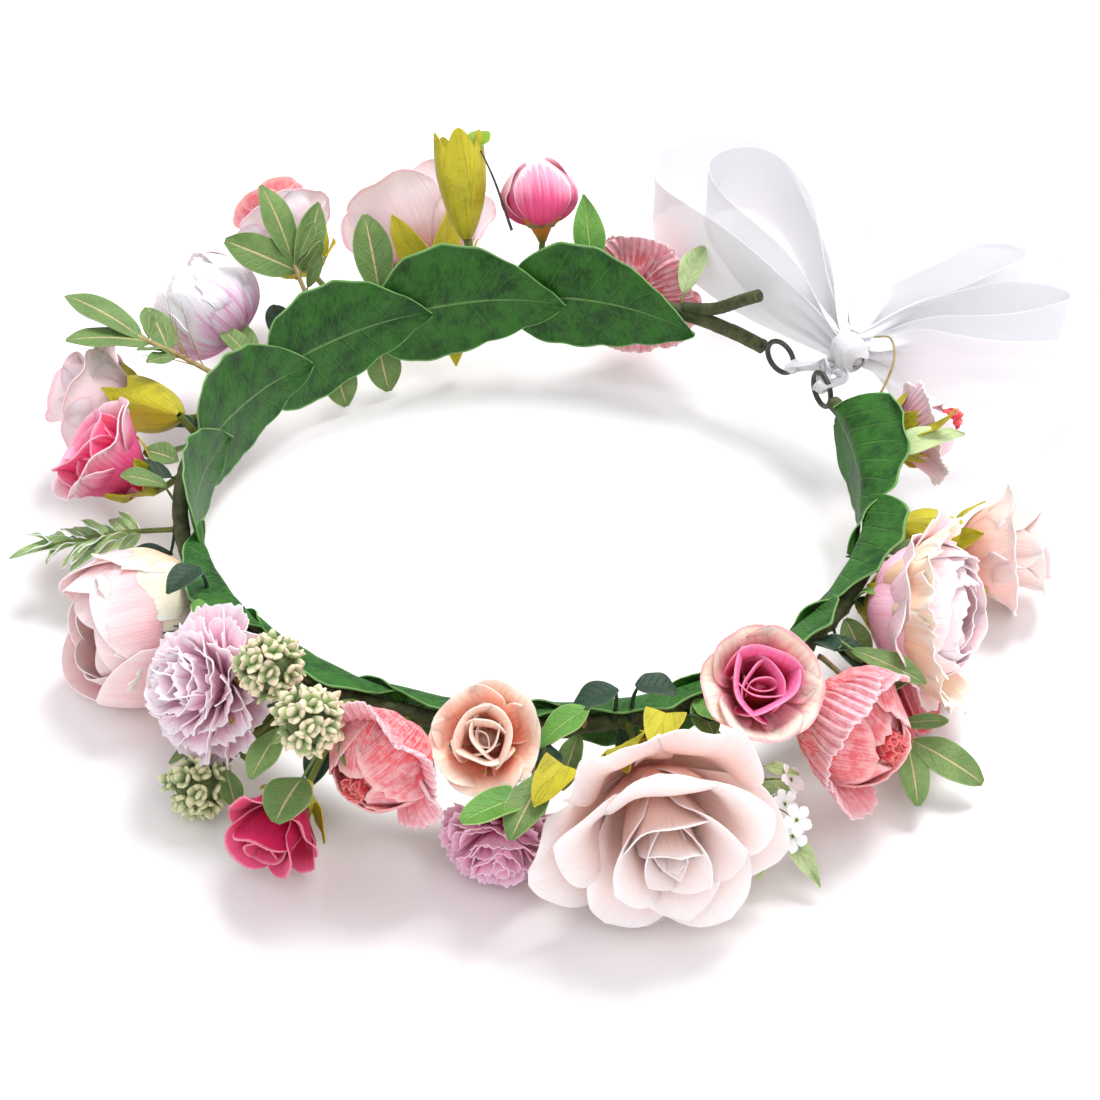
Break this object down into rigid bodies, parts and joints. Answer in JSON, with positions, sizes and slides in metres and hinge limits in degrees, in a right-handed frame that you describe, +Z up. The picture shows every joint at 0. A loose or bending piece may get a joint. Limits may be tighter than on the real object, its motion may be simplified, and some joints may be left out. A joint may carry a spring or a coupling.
{
  "type": "flower crown",
  "caption": "Open wire hoop wrapped in floral tape, lined with overlapping fabric leaves, ringed with silk roses, sedum and leaf sprigs, and tied at the back by a sheer ribbon bow.",
  "frame": {"origin": "centre of the head opening, on the plane the crown rests on", "axes": "+Z up out of the head opening, as the crown lies on a table; +Y through the gap and the ribbon bow; +X to the wearer's side that carries the pink peony"},
  "size_m": [0.298, 0.3707, 0.0694],
  "materials": {
    "core_wire": "dark annealed wire",
    "floral_tape": "wrapped crepe tape, matt",
    "lining_leaf": "dark green satin with pale cut edges",
    "coral_petal": "coral velvet with frosted ribs",
    "pale_petal": "very pale blush silk, warmer in its folds",
    "hot_pink_petal": "hot pink silk, deeper at the heart",
    "lilac_petal": "lilac pink silk with frilled edges",
    "crimson_petal": "dark pink silk",
    "peach_petal": "peach silk, coral at the heart",
    "blush_petal": "pink silk with cream and coral shading",
    "two_tone_petal": "hot pink silk with cream edges",
    "calyx": "yellow green moulded cup and stem",
    "sedum": "grey green fleshy leaves with pale pink tips",
    "leaf_green": "olive green printed leaf",
    "leaf_olive": "olive green leaf with a pale midrib",
    "leaf_frosted": "frosted grey green leaf",
    "gypsophila": "white green sprig",
    "ribbon": "sheer white organza"
  },
  "bodies": {
    "hoop_right": {"core_wire_right": "core_wire", "tape_wrap_right": "floral_tape", "end_eye_right": "core_wire", "lining_leaf_1": "lining_leaf", "lining_leaf_2": "lining_leaf", "lining_leaf_3": "lining_leaf", "lining_leaf_4": "lining_leaf", "lining_leaf_5": "lining_leaf", "lining_leaf_6": "lining_leaf", "lining_leaf_7": "lining_leaf", "blush_cup_rose": "blush_petal", "lilac_carnation": "lilac_petal", "crimson_rose": "crimson_petal", "coral_rosebud": "coral_petal", "peach_rose": "peach_petal", "small_carnation": "lilac_petal", "large_blush_rose": "pale_petal", "two_tone_rose": "two_tone_petal", "coral_velvet_rose": "coral_petal", "pink_peony": "blush_petal", "pale_peach_peony": "peach_petal", "coral_rose_end": "coral_petal", "calyxes_front": "calyx", "calyxes_right": "calyx", "sedum_head_1": "sedum", "sedum_head_2": "sedum", "sedum_head_3": "sedum", "leaves_front": "leaf_green", "leaves_right": "leaf_green", "ribbon_tie": "ribbon"},
    "hoop_left": {"core_wire_left": "core_wire", "tape_wrap_left": "floral_tape", "end_eye_left": "core_wire", "wire_stub_left": "floral_tape", "lining_leaf_8": "lining_leaf", "lining_leaf_9": "lining_leaf", "lining_leaf_10": "lining_leaf", "lining_leaf_11": "lining_leaf", "lining_leaf_12": "lining_leaf", "ribbed_coral_rose": "coral_petal", "pink_rosebud": "hot_pink_petal", "pale_rose_back": "pale_petal", "coral_rose_back": "coral_petal", "white_peony_bud": "pale_petal", "pale_rose_side": "pale_petal", "hot_pink_rose": "hot_pink_petal", "calyxes_left": "calyx", "leaves_left": "leaf_green"},
    "bow": {"ribbon_knot": "ribbon", "bow_loop_outer": "ribbon", "bow_loop_inner": "ribbon", "flat_loop_upper": "ribbon", "flat_loop_lower": "ribbon", "ribbon_tail_upper": "ribbon", "ribbon_tail_lower": "ribbon"},
    "sprig_side": {"olive_sprig_side": "leaf_olive"},
    "sprig_back": {"olive_sprig_back": "leaf_olive"},
    "sprig_frosted": {"frosted_sprig": "leaf_frosted"},
    "sprig_right": {"olive_sprig_right": "leaf_olive"},
    "sprig_gypsophila": {"gypsophila_sprig": "gypsophila"}
  },
  "joints": [
    {"name": "hoop_flex", "type": "hinge", "parent": "hoop_right", "child": "hoop_left", "pos_m": [-0.02936, -0.09035, 0.03], "axis": [0, 0, 1], "range_deg": [0, 8]},
    {"name": "bow_swing", "type": "hinge", "parent": "hoop_right", "child": "bow", "pos_m": [0.01537, 0.10286, 0.04], "axis": [0, 0, 1], "range_deg": [-12, 2]},
    {"name": "sprig_side_bend", "type": "hinge", "parent": "hoop_left", "child": "sprig_side", "pos_m": [-0.08776, -0.04472, 0.036], "axis": [-0.454, 0.891, 0], "range_deg": [0, 25]},
    {"name": "sprig_back_bend", "type": "hinge", "parent": "hoop_left", "child": "sprig_back", "pos_m": [-0.09837, -0.00516, 0.036], "axis": [-0.0523, 0.9986, 0], "range_deg": [-5, 15]},
    {"name": "sprig_frosted_bend", "type": "hinge", "parent": "hoop_left", "child": "sprig_frosted", "pos_m": [-0.0522, -0.08353, 0.022], "axis": [-0.848, 0.5299, 0], "range_deg": [-12, 8]},
    {"name": "sprig_right_bend", "type": "hinge", "parent": "hoop_right", "child": "sprig_right", "pos_m": [0.09557, 0.02383, 0.022], "axis": [0.2419, -0.9703, 0], "range_deg": [-10, 5]},
    {"name": "sprig_gypsophila_bend", "type": "hinge", "parent": "hoop_right", "child": "sprig_gypsophila", "pos_m": [0.09729, -0.01541, 0.022], "axis": [-0.1564, -0.9877, 0], "range_deg": [-10, 2]}
  ]
}
